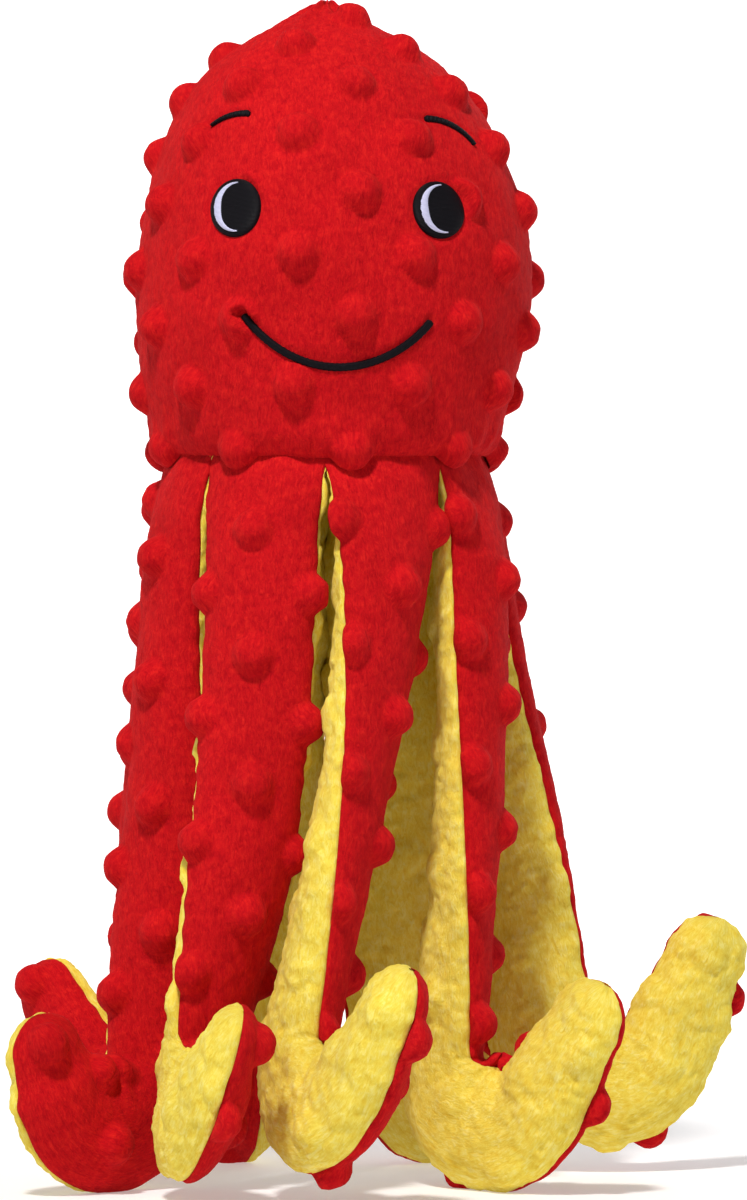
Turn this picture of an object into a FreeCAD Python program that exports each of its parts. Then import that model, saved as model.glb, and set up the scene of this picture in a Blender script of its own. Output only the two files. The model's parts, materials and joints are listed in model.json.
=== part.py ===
"""Stuffed octopus toy: a pointed plush head on eight J-shaped tentacles.

Millimetres, +Z up. The toy stands on the flattened undersides of its eight tentacle hooks, on Z = 0,
and the origin is the middle of its outline on that plane. The face looks along -Y.
Each tentacle hangs from the neck seam, which works as a cloth hinge.
A bearing is an angle on the ground plan, from straight ahead (-Y) towards +X.
"""

import FreeCAD, Part
import math
import os
from typing import NamedTuple

import Sketcher
from FreeCAD import Placement, Rotation, Vector

# Driving dimensions, kept in the sheet "Dims". Lengths in millimetres, angles in degrees.
DIMENSIONS = {
    # where the head's axis stands, from the middle of the toy's outline
    "axis_x": -15.3,
    "axis_y": 0.84,
    # cloth and sewing
    "cloth": 1.5,
    "slack": 0.3,
    "seam_angle": 0.4,
    # head: a pointed dome through five rings, each given by its radius and its height above the widest one
    "widest_height": 253.5,
    "neck_radius": 47.0,
    "neck_up": -50.0,
    "widest_radius": 56.5,
    "widest_up": 0.0,
    "shoulder_radius": 43.0,
    "shoulder_up": 49.5,
    "crown_radius": 18.0,
    "crown_up": 72.0,
    "point_radius": 0.0,
    "point_up": 81.5,
    # the radii of the arcs between the rings
    "cheek_bend": 136.0,
    "shoulder_bend": 99.0,
    "crown_bend": 61.2,
    # the sizes at which the dome is drawn, from the stuffing out to the stitches of the glints
    "fill_scale": 0.967,
    "lining_scale": 0.973,
    "cover_scale": 1.0,
    "stitch_base": 1.002,
    "stitch_top": 1.016,
    "glint_base": 1.018,
    "glint_top": 1.028,
    # squeaker in the middle of the head
    "squeaker_radius": 19.0,
    "squeaker_depth": 20.0,
    "squeaker_wall": 1.0,
    "squeaker_height": 255.5,
    "reed_radius": 5.0,
    "reed_length": 6.0,
    "reed_hole": 1.6,
    # face embroidery
    "face_centre": 2.2,
    "eye_spread": 28.0,
    "eye_height": 271.8,
    "eye_half_height": 8.3,
    "eye_half_width": 7.2,
    "glint_half_height": 6.9,
    "glint_half_width": 5.6,
    "glint_shift": 2.6,
    "smile_bend": 31.3,
    "smile_half_angle": 55.8,
    "smile_bottom": 228.5,
    "smile_width": 2.6,
    "eyebrow_bend": 14.0,
    "eyebrow_half_angle": 26.0,
    "eyebrow_width": 1.7,
    "eyebrow_height": 296.5,
    "eyebrow_tilt": 25.0,
    # tentacle: a stuffed tube, pressed flat where it is sewn to the neck, with a flat-cut hook at its end
    "hinge_radius": 44.0,
    "hinge_drop": 3.5,
    "root_top": 1.5,
    "root_width": 33.0,
    "root_thickness": 5.0,
    "full_below": 28.0,
    "unstuffed": 12.0,
    "tentacle_width": 30.0,
    "tentacle_thickness": 19.0,
    "tip_width": 24.0,
    "tip_thickness": 15.0,
    "hook_radius": 19.5,
    "hook_width": 35.0,
    "hook_turn": 157.0,
    "foot_flat": 0.8,
}

RINGS = ("neck", "widest", "shoulder", "crown", "point")
BENDS = ("cheek_bend", "shoulder_bend", "crown_bend")



class Hang(NamedTuple):
    """How one tentacle hangs. The slopes are the stem's own at its foot, against plumb."""

    outward: float  # how far the foot lies outward of the root
    sideways: float  # how far it lies to the root's right, for someone who stands on the head's axis
    outward_slope: float
    sideways_slope: float
    turned: float  # how far the hook is turned from straight out
    lift: float  # how far the foot is off the floor
    rise: float  # how long the hook's straight end is
    twist_power: float = 2.2  # how late the stem twists: 1 is even, and more is lower down


# Going round from the left front tentacle by way of the front.
HANG = (
    Hang(5.8, 0.0, 0.0, 0.0, 21.5, 0.0, 22.0),
    Hang(6.3, -15.0, 0.0, -0.30, 34.5, 6.0, 26.0),
    Hang(0.4, -25.0, 0.0, -0.25, 8.0, 9.0, 31.0, 0.8),
    Hang(-7.0, -3.0, -0.18, 0.0, -17.5, 0.0, 38.0),
    Hang(22.0, 0.0, 0.0, 0.0, -17.5, 7.5, 40.0),
    Hang(5.8, 0.0, 0.0, 0.0, -17.5, 0.0, 29.0),
    Hang(5.8, 0.0, 0.0, 0.0, 0.5, 0.0, 29.0),
    Hang(5.8, 0.0, -0.25, 0.0, -21.5, 6.0, 34.0),
)
TENTACLE_STEP = 360.0 / len(HANG)
FIRST_BEARING = -1.5 * TENTACLE_STEP

# Between its root and its hook a tentacle twists by about a quarter turn.
QUARTER_TURN = 90.0
TWIST_ENDS_AT = 80.0

# Over this many degrees at each end of its bend the hook changes between the stem's width and its own.
WIDENING = 60.0

# The spacing of the sections that a tentacle is lofted through, and those in its rounded tip.
SHORT_STEP = 5.0
LONG_STEP = 11.0
TIP_SHARES = (0.0, 0.45, 0.75, 0.92, 0.99)

# The smallest hollow left in a panel's tip, as half its width and half its thickness.
LEAST_HOLLOW = (0.6, 0.3)

# The two halves of the fill's section, as angles. Each stops short of the seams, where the fill is blunt.
BLUNT = 0.15
HALVES = ((BLUNT, math.pi - BLUNT), (math.pi + BLUNT, 2 * math.pi - BLUNT))

# How far a cutting tool reaches past what it cuts.
REACH = 20.0

PARTS_FOLDER = "parts"


# ---------------------------------------------------------------- the document and its sheet


def start_document():
    """A new document with the driving dimensions in a spreadsheet."""
    doc = FreeCAD.newDocument("octopus")
    sheet = doc.addObject("Spreadsheet::Sheet", "Dims")
    for row, (alias, value) in enumerate(DIMENSIONS.items(), start=1):
        sheet.set(f"A{row}", alias)
        sheet.set(f"B{row}", str(value))
        sheet.setAlias(f"B{row}", alias)
    doc.recompute()
    return doc, sheet


def bind(thing, **cells):
    """Binds properties of an object to expressions, as in bind(disc, Radius="Dims.neck_radius")."""
    for name, expression in cells.items():
        thing.setExpression(name, expression)
    return thing


def place(thing, across="0", ahead="0", up="0"):
    """Binds an object's place: to the right and ahead of the head's axis, and above the floor."""
    thing.setExpression("Placement.Base.x", f"Dims.axis_x + ({across})")
    thing.setExpression("Placement.Base.y", f"Dims.axis_y - ({ahead})")
    thing.setExpression("Placement.Base.z", up)
    return thing


def combine(doc, kind, name, base, tool):
    """A boolean of two objects. kind is Cut, Common or Fuse."""
    thing = doc.addObject(f"Part::{kind}", name)
    thing.Base = base
    thing.Tool = tool
    return thing


def upright_cylinder(doc, name, radius, height, **where):
    """A cylinder about the head's axis, or beside it."""
    thing = bind(doc.addObject("Part::Cylinder", name), Radius=radius, Height=height)
    return place(thing, **where)


# ---------------------------------------------------------------- the dome that the head's pieces share


def measure(sketch, kind, line, end, value, expression):
    """Dimensions one end of a line with its present value, then binds the dimension."""
    index = sketch.addConstraint(Sketcher.Constraint(kind, line, end, value))
    sketch.setExpression(f"Constraints[{index}]", expression)


def pin(sketch, line, end, point, across, up):
    """Fixes one end of a line, drawn at point, to two expressions."""
    measure(sketch, "DistanceX", line, end, point.x, across)
    measure(sketch, "DistanceY", line, end, point.y, up)


def join(sketch, first, first_end, second, second_end):
    sketch.addConstraint(Sketcher.Constraint("Coincident", first, first_end, second, second_end))


def bulging_arc(low, high, radius):
    """The arc from low up to high that bulges away from the axis."""
    along = high - low
    inward = Vector(-along.y, along.x, 0).normalize()
    centre = (low + high) * 0.5 + inward * math.sqrt(radius**2 - (along.Length / 2) ** 2)
    angles = [math.atan2(end.y - centre.y, end.x - centre.x) for end in (low, high)]
    return Part.ArcOfCircle(Part.Circle(centre, Vector(0, 0, 1), radius), *angles)


def draw_dome(sketch, dims, scale):
    """Draws the dome's half outline from the neck up to the point, at one of the sheet's scales.

    The sketch's origin is the middle of the widest ring. Returns the lines and the two end points.
    """
    factor = getattr(dims, scale)
    points = [
        Vector(getattr(dims, f"{ring}_radius"), getattr(dims, f"{ring}_up"), 0) * factor for ring in RINGS
    ]
    lines = []
    for low, high, bend in zip(points, points[1:], BENDS):
        radius = getattr(dims, bend) * factor
        lines.append(sketch.addGeometry(bulging_arc(low, high, radius)))
        index = sketch.addConstraint(Sketcher.Constraint("Radius", lines[-1], radius))
        sketch.setExpression(f"Constraints[{index}]", f"Dims.{bend} * Dims.{scale}")
    lines.append(sketch.addGeometry(Part.LineSegment(points[-2], points[-1])))
    for first, second in zip(lines, lines[1:]):
        join(sketch, first, 2, second, 1)
    ends = [(line, 1) for line in lines] + [(lines[-1], 2)]
    for ring, point, (line, end) in zip(RINGS, points, ends):
        pin(sketch, line, end, point, f"Dims.{ring}_radius * Dims.{scale}", f"Dims.{ring}_up * Dims.{scale}")
    return lines, points[0], points[-1]


def dome_sketch(doc, name):
    """A body centred on the widest ring, with an empty sketch on its front plane."""
    body = place(doc.addObject("PartDesign::Body", name), up="Dims.widest_height")
    plane = next(feature for feature in body.Origin.OriginFeatures if feature.Role == "XZ_Plane")
    sketch = body.newObject("Sketcher::SketchObject", f"{name}_outline")
    sketch.AttachmentSupport = [(plane, "")]
    sketch.MapMode = "FlatFace"
    return body, sketch


def revolve(body, sketch, degrees):
    """Turns a body's sketch about the head's axis, half to each side of the sketch."""
    turn = body.newObject("PartDesign::Revolution", f"{body.Name}_turn")
    turn.Profile = sketch
    turn.ReferenceAxis = (sketch, ["V_Axis"])
    turn.Midplane = True
    turn.setExpression("Angle", degrees)
    return body


def dome_layer(doc, dims, name, inner, outer, degrees):
    """A shell of the head between two of the sheet's scales."""
    body, sketch = dome_sketch(doc, name)
    inside, inner_neck, inner_point = draw_dome(sketch, dims, inner)
    outside, outer_neck, outer_point = draw_dome(sketch, dims, outer)
    hem = sketch.addGeometry(Part.LineSegment(inner_neck, outer_neck))
    peak = sketch.addGeometry(Part.LineSegment(inner_point, outer_point))
    join(sketch, hem, 1, inside[0], 1)
    join(sketch, hem, 2, outside[0], 1)
    join(sketch, peak, 1, inside[-1], 2)
    join(sketch, peak, 2, outside[-1], 2)
    return revolve(body, sketch, degrees)


def dome_solid(doc, dims, name, scale):
    """The head's full form at one of the sheet's scales, with a flat bottom."""
    body, sketch = dome_sketch(doc, name)
    lines, neck, point = draw_dome(sketch, dims, scale)
    middle = Vector(0, neck.y, 0)
    bottom = sketch.addGeometry(Part.LineSegment(middle, neck))
    axis = sketch.addGeometry(Part.LineSegment(middle, point))
    join(sketch, bottom, 2, lines[0], 1)
    join(sketch, axis, 2, lines[-1], 2)
    join(sketch, axis, 1, bottom, 1)
    pin(sketch, bottom, 1, middle, "0", f"Dims.neck_up * Dims.{scale}")
    return revolve(body, sketch, "360")


# ---------------------------------------------------------------- the head


def head_panel(doc, dims, name, bearing):
    """Half of the plush cover, facing the given way. Each half stops just short of the side seams."""
    panel = dome_layer(doc, dims, name, "lining_scale", "cover_scale", "180 - Dims.seam_angle")
    panel.Placement.Rotation = Rotation(Vector(0, 0, 1), bearing - QUARTER_TURN)
    return panel


def base_disc(doc):
    """The cloth disc that closes the head's bottom, inside the ring of tentacles."""
    inside = "Dims.neck_radius * Dims.lining_scale - Dims.slack"
    bottom = "Dims.widest_height + Dims.neck_up"
    thickness = "-Dims.neck_up * (1 - Dims.fill_scale) - Dims.slack"
    return upright_cylinder(doc, "base_disc", inside, thickness, up=bottom)


def head_stuffing(doc, dims):
    """The fibre fill, with a hollow that the squeaker sits in."""
    fill = dome_solid(doc, dims, "head_fill", "fill_scale")
    hollow = upright_cylinder(
        doc,
        "squeaker_hollow",
        "Dims.squeaker_radius + Dims.slack",
        "Dims.squeaker_depth + 2 * Dims.slack",
        up="Dims.squeaker_height - Dims.slack",
    )
    return combine(doc, "Cut", "head_stuffing", fill, hollow)


def squeaker(doc):
    """The squeaker: a hollow plastic drum, and the reed that plugs the hole in its top."""
    drum = upright_cylinder(
        doc, "drum", "Dims.squeaker_radius", "Dims.squeaker_depth", up="Dims.squeaker_height"
    )
    air = upright_cylinder(
        doc,
        "drum_air",
        "Dims.squeaker_radius - Dims.squeaker_wall",
        "Dims.squeaker_depth - 2 * Dims.squeaker_wall",
        up="Dims.squeaker_height + Dims.squeaker_wall",
    )
    reed_bottom = "Dims.squeaker_height + Dims.squeaker_depth - Dims.reed_length"
    socket = upright_cylinder(
        doc, "reed_socket", "Dims.reed_radius + Dims.slack / 2", "2 * Dims.reed_length", up=reed_bottom
    )
    body = combine(doc, "Cut", "squeaker_body", drum, combine(doc, "Fuse", "drum_hollow", air, socket))
    plug = upright_cylinder(doc, "reed_plug", "Dims.reed_radius", "Dims.reed_length", up=reed_bottom)
    bore = upright_cylinder(doc, "reed_bore", "Dims.reed_hole", "Dims.reed_length", up=reed_bottom)
    return [body, combine(doc, "Cut", "squeaker_reed", plug, bore)]


# ---------------------------------------------------------------- the face


def oval_tool(doc, name, half_width, half_height, across):
    """A long oval that cuts an eye's outline out of a layer of stitches."""
    oval = doc.addObject("Part::Ellipsoid", name)
    bind(oval, Radius1=half_height, Radius2=half_width, Radius3="Dims.widest_radius / 2")
    return place(oval, across=across, ahead="Dims.widest_radius", up="Dims.eye_height")


def eye(doc, side, sign, stitches, glint_stitches):
    """An eye: a black oval, and a pale crescent sewn over its left side."""
    across = f"Dims.face_centre + ({sign}) * Dims.eye_spread"
    outline = oval_tool(doc, f"eye_{side}_outline", "Dims.eye_half_width", "Dims.eye_half_height", across)
    shine = oval_tool(
        doc,
        f"eye_{side}_shine",
        "Dims.glint_half_width",
        "Dims.glint_half_height",
        across,
    )
    pupil = oval_tool(
        doc,
        f"eye_{side}_pupil",
        "Dims.glint_half_width",
        "Dims.glint_half_height",
        f"{across} + Dims.glint_shift",
    )
    crescent = combine(doc, "Cut", f"eye_{side}_crescent", shine, pupil)
    return [
        combine(doc, "Common", f"eye_{side}", stitches, outline),
        combine(doc, "Common", f"eye_{side}_highlight", glint_stitches, crescent),
    ]


def bent_strip(doc, dims, name, kind, turned, across, centre_height):
    """A tool that cuts a bent line of stitches: a piece of a ring that lies across the face.

    kind is smile or eyebrow, as in the sheet. The strip is centred on the given turn, counted from
    upward to the right.
    """
    outside = doc.addObject("Part::Cylinder", f"{name}_outside")
    inside = doc.addObject("Part::Cylinder", f"{name}_inside")
    bind(outside, Radius=f"Dims.{kind}_bend + Dims.{kind}_width / 2", Angle=f"2 * Dims.{kind}_half_angle")
    bind(inside, Radius=f"Dims.{kind}_bend - Dims.{kind}_width / 2")
    start = QUARTER_TURN - turned - getattr(dims, f"{kind}_half_angle")
    lying_back = Rotation(Vector(1, 0, 0), QUARTER_TURN)
    for tool in (outside, inside):
        tool.Placement.Rotation = lying_back * Rotation(Vector(0, 0, 1), start)
        bind(tool, Height="2 * Dims.widest_radius")
        place(tool, across=across, up=centre_height)
    return combine(doc, "Cut", f"{name}_strip", outside, inside)


def smile(doc, dims, stitches):
    """The smile: a bent line of satin stitch, low in the middle."""
    strip = bent_strip(
        doc,
        dims,
        "smile",
        "smile",
        2 * QUARTER_TURN,
        "Dims.face_centre",
        "Dims.smile_bottom + Dims.smile_bend",
    )
    return combine(doc, "Common", "smile", stitches, strip)


def eyebrow(doc, dims, side, sign, stitches):
    """An eyebrow: a short bent line, highest at its inner end."""
    strip = bent_strip(
        doc,
        dims,
        f"eyebrow_{side}",
        "eyebrow",
        sign * dims.eyebrow_tilt,
        f"Dims.face_centre + ({sign}) * (Dims.eye_spread - Dims.eyebrow_bend * sin(Dims.eyebrow_tilt * 1deg))",
        "Dims.eyebrow_height - Dims.eyebrow_bend * cos(Dims.eyebrow_tilt * 1deg)",
    )
    return combine(doc, "Common", f"eyebrow_{side}", stitches, strip)


def face(doc, dims):
    """The embroidery, cut from thin layers that lie on the head's front."""
    stitches = dome_layer(doc, dims, "stitches", "stitch_base", "stitch_top", "360")
    glint_stitches = dome_layer(doc, dims, "glint_stitches", "glint_base", "glint_top", "360")
    pieces = [smile(doc, dims, stitches)]
    for side, sign in (("left", -1), ("right", 1)):
        pieces += eye(doc, side, sign, stitches, glint_stitches)
        pieces.append(eyebrow(doc, dims, side, sign, stitches))
    return pieces


# ---------------------------------------------------------------- the tentacles


def heading(bearing):
    """The level direction at a bearing."""
    angle = math.radians(bearing)
    return Vector(math.sin(angle), -math.cos(angle), 0)


def ease(share):
    """A smooth step from 0 to 1."""
    share = min(max(share, 0.0), 1.0)
    return share * share * (3 - 2 * share)


def mix(first, second, share):
    return first + (second - first) * share


def steps(start, end, longest):
    """Evenly spaced places from start up to, and without, end."""
    count = math.ceil((end - start) / longest)
    return [mix(start, end, index / count) for index in range(count)]


class Tentacle:
    """The form of one tentacle, whose root is straight ahead of the head's axis.

    A place on it is its distance below the hinge, along the middle of the tube: down the stem,
    round the hook and up the rise to the tip.
    """

    def __init__(self, dims, hang):
        self.dims = dims
        self.hang = hang
        self.down = Vector(hang.sideways_slope, -hang.outward_slope, -1).normalize()
        level = heading(hang.turned)
        self.ahead = (level - self.down * level.dot(self.down)).normalize()
        self.normal = self.ahead.cross(self.down)
        self.hinge_height = dims.widest_height + dims.neck_up - dims.hinge_drop
        reach = (dims.hook_radius + dims.hook_width / 2) * math.hypot(self.normal.x, self.normal.y)
        foot_height = hang.lift - dims.foot_flat
        self.stem_end = self.hinge_height - foot_height - reach + dims.hook_radius * self.ahead.z
        self.hook_end = self.stem_end + dims.hook_radius * math.radians(dims.hook_turn)
        self.tip_end = self.hook_end + hang.rise
        self.tip_start = self.tip_end - dims.tip_width / 2

    def stem_point(self, distance):
        """A point of the stem, which moves from above its root to its foot and ends at its slopes."""
        share = distance / self.stem_end
        moved = ease(share)
        sloping = self.stem_end * (share**3 - share**2) if share > 0 else 0.0
        sideways = self.hang.sideways * moved + self.hang.sideways_slope * sloping
        ahead = self.dims.hinge_radius + self.hang.outward * moved + self.hang.outward_slope * sloping
        return Vector(sideways, -ahead, self.hinge_height - distance)

    def point(self, distance):
        """The middle of the tube at a place."""
        if distance <= self.stem_end:
            return self.stem_point(distance)
        radius = self.dims.hook_radius
        bend = min((distance - self.stem_end) / radius, math.radians(self.dims.hook_turn))
        hooked = self.ahead * (1 - math.cos(bend)) + self.down * math.sin(bend)
        along = self.ahead * math.sin(bend) + self.down * math.cos(bend)
        risen = along * max(distance - self.hook_end, 0.0)
        return self.stem_point(self.stem_end) + hooked * radius + risen

    def axes(self, distance):
        """The directions of the tube's width and of its outer face at a place."""
        small = 0.01
        along = (self.point(distance + small) - self.point(distance - small)).normalize()
        width = along.cross(self.normal).normalize()
        face_out = width.cross(along)
        twist_end = self.stem_end + self.dims.hook_radius * math.radians(TWIST_ENDS_AT)
        done = min(max(distance, 0.0) / twist_end, 1.0) ** self.hang.twist_power
        left = -math.radians(QUARTER_TURN + self.hang.turned) * (1 - done)
        turned_width = width * math.cos(left) + face_out * math.sin(left)
        turned_face = face_out * math.cos(left) - width * math.sin(left)
        return turned_width, turned_face

    def half_sizes(self, distance):
        """Half the tube's width and half its thickness at a place."""
        dims = self.dims
        full = ease(distance / dims.full_below)
        width = mix(dims.root_width, dims.tentacle_width, full) / 2
        thickness = mix(dims.root_thickness, dims.tentacle_thickness, full) / 2
        if distance < 0:
            thickness = math.sqrt(thickness**2 - distance**2)
        widening = dims.hook_radius * math.radians(WIDENING)
        widened = ease((distance - self.stem_end) / widening) * ease((self.hook_end - distance) / widening)
        width += (dims.hook_width - dims.tentacle_width) / 2 * widened
        taper = ease((distance - self.hook_end) / (self.tip_start - self.hook_end))
        width = mix(width, dims.tip_width / 2, taper)
        thickness = mix(thickness, dims.tip_thickness / 2, taper)
        rounding = max(distance - self.tip_start, 0.0) / (self.tip_end - self.tip_start)
        shrink = math.sqrt(1 - rounding**2)
        return width * shrink, thickness * shrink

    def places(self, start):
        """The places of the sections, from start to the tip."""
        full = max(self.dims.full_below, start)
        stem = steps(start, full, SHORT_STEP) + steps(full, self.stem_end, LONG_STEP)
        hook = steps(self.stem_end, self.hook_end, SHORT_STEP)
        rise = steps(self.hook_end, self.tip_start, LONG_STEP)
        return stem + hook + rise + [mix(self.tip_start, self.tip_end, share) for share in TIP_SHARES]

    def oval(self, distance, inset, side=1):
        """The tube's section at a place, as an ellipse whose second quarter bulges to the given side."""
        half_width, half_thickness = self.half_sizes(distance)
        width, face_out = self.axes(distance)
        middle = self.point(distance)
        half_width = max(half_width - inset, LEAST_HOLLOW[0])
        half_thickness = max(half_thickness - inset, LEAST_HOLLOW[1])
        return Part.Ellipse(middle + width * half_width, middle + face_out * half_thickness * side, middle)

    def panel_section(self, distance, side):
        """Half of the tube's wall, moved off the seam by half the slack."""
        outer = Part.ArcOfEllipse(self.oval(distance, 0.0, side), 0, math.pi)
        inner = Part.ArcOfEllipse(self.oval(distance, self.dims.cloth, side), 0, math.pi)
        wire = Part.Wire(
            [
                outer.toShape(),
                Part.makeLine(outer.EndPoint, inner.EndPoint),
                inner.toShape(),
                Part.makeLine(inner.StartPoint, outer.StartPoint),
            ]
        )
        wire.translate(self.axes(distance)[1] * side * self.dims.slack / 2)
        return wire

    def panel(self, side):
        """One cloth panel, trimmed flat where the hook rests on the floor. side is 1 outside, -1 inside."""
        sections = [self.panel_section(spot, side) for spot in self.places(-self.dims.root_top)]
        below = Part.makeBox(2 * self.tip_end, 2 * self.tip_end, REACH, Vector(-1, -1, 0) * self.tip_end)
        below.translate(Vector(0, 0, -REACH))
        return upright(Part.makeLoft(sections, True)).cut(below)

    def stuffing_section(self, distance, inset):
        """The section of the fill, in two halves like the panels around it."""
        first, second = [Part.ArcOfEllipse(self.oval(distance, inset), *ends) for ends in HALVES]
        return Part.Wire(
            [
                first.toShape(),
                Part.makeLine(first.EndPoint, second.StartPoint),
                second.toShape(),
                Part.makeLine(second.EndPoint, first.StartPoint),
            ]
        )

    def stuffing(self):
        """The fibre fill, which starts a little below the flat root."""
        inset = self.dims.cloth + self.dims.slack
        spots = self.places(self.dims.unstuffed)[:-1]
        return upright(Part.makeLoft([self.stuffing_section(spot, inset) for spot in spots], True))


def upright(solid):
    """The solid with its faces pointing outward."""
    if solid.Volume < 0:
        solid.reverse()
    return solid


def tentacle(doc, dims, number, hang):
    """The three pieces of one tentacle: red outer panel, yellow inner panel and fibre fill."""
    form = Tentacle(dims, hang)
    shapes = {
        "outer_panel": form.panel(1),
        "inner_panel": form.panel(-1),
        "stuffing": form.stuffing(),
    }
    bearing = FIRST_BEARING + TENTACLE_STEP * (number - 1)
    pieces = []
    for name, shape in shapes.items():
        piece = doc.addObject("Part::Feature", f"tentacle_{number}_{name}")
        piece.Shape = shape
        piece.Placement = Placement(
            Vector(dims.axis_x, dims.axis_y, 0), Rotation(Vector(0, 0, 1), bearing)
        )
        pieces.append(piece)
    return pieces


# ---------------------------------------------------------------- putting it together


def check(doc, pieces):
    """Stops if any object failed or any sub-part isn't one sound solid."""
    for thing in doc.Objects:
        if {"Invalid", "Error"} & set(thing.State):
            raise RuntimeError(f"{thing.Name} failed: {thing.State}")
    for piece in pieces:
        shape = piece.Shape
        if shape.isNull() or not shape.isValid() or len(shape.Solids) != 1 or shape.Volume <= 0:
            raise RuntimeError(f"{piece.Label} isn't one sound solid")


def main():
    doc, dims = start_document()
    pieces = [
        head_panel(doc, dims, "head_front_panel", 0.0),
        head_panel(doc, dims, "head_back_panel", 2 * QUARTER_TURN),
        base_disc(doc),
        head_stuffing(doc, dims),
        *squeaker(doc),
        *face(doc, dims),
    ]
    for number, hang in enumerate(HANG, start=1):
        pieces += tentacle(doc, dims, number, hang)
    doc.recompute()
    for piece in pieces:
        piece.Label = piece.Name
    check(doc, pieces)
    os.makedirs(PARTS_FOLDER, exist_ok=True)
    for piece in pieces:
        piece.Shape.exportStep(os.path.join(PARTS_FOLDER, f"{piece.Label}.step"))
        box = piece.Shape.BoundBox
        print(f"{piece.Label}: {piece.Shape.Volume:.0f} mm3, Z {box.ZMin:.1f} to {box.ZMax:.1f}")


main()
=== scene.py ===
"""The look of a stuffed octopus toy: dotted plush cloth over a pointed head and eight hooked tentacles.

Shapes are worked out in millimetres, in the part's frame, and turned into metres when a mesh is made.
A bearing is an angle on the ground plan, from straight ahead (-Y) towards +X.
"""

import itertools
import json
import math
from functools import partial
from typing import NamedTuple

import bpy
import numpy as np
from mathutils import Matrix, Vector


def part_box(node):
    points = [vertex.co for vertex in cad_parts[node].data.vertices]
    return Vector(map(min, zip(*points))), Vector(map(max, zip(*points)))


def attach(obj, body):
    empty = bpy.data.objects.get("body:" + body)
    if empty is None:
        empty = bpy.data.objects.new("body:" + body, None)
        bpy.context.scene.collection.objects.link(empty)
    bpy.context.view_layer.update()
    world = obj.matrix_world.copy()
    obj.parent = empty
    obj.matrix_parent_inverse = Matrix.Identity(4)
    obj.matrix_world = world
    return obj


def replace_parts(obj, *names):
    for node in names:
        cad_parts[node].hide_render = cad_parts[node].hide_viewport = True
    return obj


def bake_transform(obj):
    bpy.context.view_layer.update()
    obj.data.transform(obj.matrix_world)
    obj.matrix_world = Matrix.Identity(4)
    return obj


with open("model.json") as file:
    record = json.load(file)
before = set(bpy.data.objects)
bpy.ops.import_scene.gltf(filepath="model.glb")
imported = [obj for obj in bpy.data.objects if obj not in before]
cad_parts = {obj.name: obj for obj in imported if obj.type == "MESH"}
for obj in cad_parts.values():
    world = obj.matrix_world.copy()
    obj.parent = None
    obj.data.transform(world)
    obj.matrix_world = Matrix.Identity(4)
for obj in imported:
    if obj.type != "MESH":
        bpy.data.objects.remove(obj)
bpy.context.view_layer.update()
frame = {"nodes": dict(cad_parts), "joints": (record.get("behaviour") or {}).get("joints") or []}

MM = 0.001

# ---------------------------------------------------------------- sizes, in millimetres

HEAD_LOW, HEAD_HIGH = (np.array(corner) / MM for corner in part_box("head_front_panel"))
HINGES = {joint["child"]: np.array(joint["pos_m"]) / MM for joint in frame["joints"]}
AXIS_X = (HEAD_LOW[0] + HEAD_HIGH[0]) / 2
AXIS_Y = sum(hinge[1] for hinge in HINGES.values()) / len(HINGES)
NECK_HEIGHT = HEAD_LOW[2]
HINGE_HEIGHT = HINGES["tentacle_1"][2]
HINGE_RADIUS = math.hypot(HINGES["tentacle_1"][0] - AXIS_X, HINGES["tentacle_1"][1] - AXIS_Y)

# The dome's rings, as radius and height above the neck, and the radii of the arcs between them.
RINGS = ((47.0, 0.0), (56.5, 50.0), (43.0, 99.5), (18.0, 122.0), (0.0, 131.5))
BENDS = (136.0, 99.0, 61.2)
# How far the neck's hem sags at the front and back, and how far up the sag fades.
HEM_SAG = 3.2
HEM_SAG_RUN = 22.0

TENTACLE_COUNT = len(HINGES)
TENTACLE_STEP = 360.0 / TENTACLE_COUNT
FIRST_BEARING = -1.5 * TENTACLE_STEP

TENTACLE_WIDTH = 30.0
TENTACLE_THICKNESS = 19.0
TIP_WIDTH = 24.0
TIP_THICKNESS = 15.0
SEAM_TOP = 8.0
SEAM_WIDTH = 36.0
SEAM_THICKNESS = 1.6
SEAM_NARROWS_BY = 52.0
# Below the seam a stem keeps its upper width for a while. The two back ones press together, so they
# stay wide down to a lower place.
UPPER_WIDTH = 31.5
UPPER_END = 50.0
BACK_UPPER_WIDTH = 38.4
BACK_UPPER_END = 110.0
BACK_TENTACLES = (6, 7)
NARROWS_OVER = 45.0
# How the tube thickens from its flat sewn root: from above the hinge, over this length, and how early.
FILLS_FROM = 3.0
FILLS_OVER = 29.0
FILLING_POWER = 0.7
HOOK_RADIUS = 19.5
HOOK_WIDTH = 35.0
HOOK_TURN = math.radians(157.0)
WIDENING = math.radians(60.0)
FOOT_FLAT = 0.8
TWIST_ENDS_AT = math.radians(80.0)


class Hang(NamedTuple):
    """How one tentacle hangs. The slopes are the stem's own at its foot, against plumb."""

    outward: float  # how far the foot lies outward of the root
    sideways: float  # how far it lies to the root's right, for someone who stands on the head's axis
    outward_slope: float
    sideways_slope: float
    turned: float  # how far the hook is turned from straight out, in degrees
    lift: float  # how far the foot is off the floor
    rise: float  # how long the hook's straight end is
    twist_power: float = 2.2  # how late the stem twists: 1 is even, and more is lower down


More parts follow.
